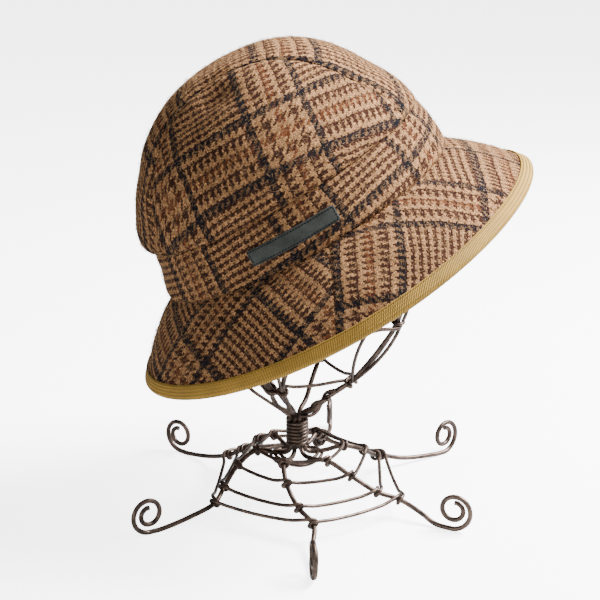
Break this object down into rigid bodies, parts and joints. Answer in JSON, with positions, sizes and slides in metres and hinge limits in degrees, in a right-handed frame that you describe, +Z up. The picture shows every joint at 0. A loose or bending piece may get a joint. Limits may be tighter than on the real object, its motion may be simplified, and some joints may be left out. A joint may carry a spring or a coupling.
{
  "type": "brimmed tweed hat on a wire hat stand",
  "caption": "Soft tweed hat with a rounded crown, cloth band and drooping bound brim, tipped back on a caged wire stand with curled feet.",
  "frame": {"origin": "on the floor under the middle of the whole object's box", "axes": "+X towards the front of the hat, which is tipped up; +Y towards the hat's left side; +Z up"},
  "size_m": [0.2682, 0.2802, 0.3275],
  "materials": {
    "tweed": "checked wool twill, matt and slightly hairy",
    "ribbon": "ribbed ribbon with a soft sheen",
    "patch": "dark matt patch with a stitched edge",
    "wire": "dark bronzed wire, satin"
  },
  "bodies": {
    "root": {"crown_centre_strip": "tweed", "crown_right_panel": "tweed", "crown_left_panel": "tweed", "hat_band": "tweed", "brim_front": "tweed", "brim_back": "tweed", "brim_binding": "ribbon", "side_patch": "patch", "stand_leg_1": "wire", "stand_leg_2": "wire", "stand_leg_3": "wire", "stand_leg_4": "wire", "stand_leg_5": "wire", "stand_leg_6": "wire", "cage_stave_1": "wire", "cage_stave_2": "wire", "cage_stave_3": "wire", "cage_stave_4": "wire", "cage_stave_5": "wire", "cage_stave_6": "wire", "base_ring_1": "wire", "base_ring_2": "wire", "base_ring_3": "wire", "base_ring_4": "wire", "cage_ring_1": "wire", "cage_ring_2": "wire", "cage_ring_3": "wire", "cage_ring_4": "wire", "neck_coil": "wire"}
  },
  "joints": []
}
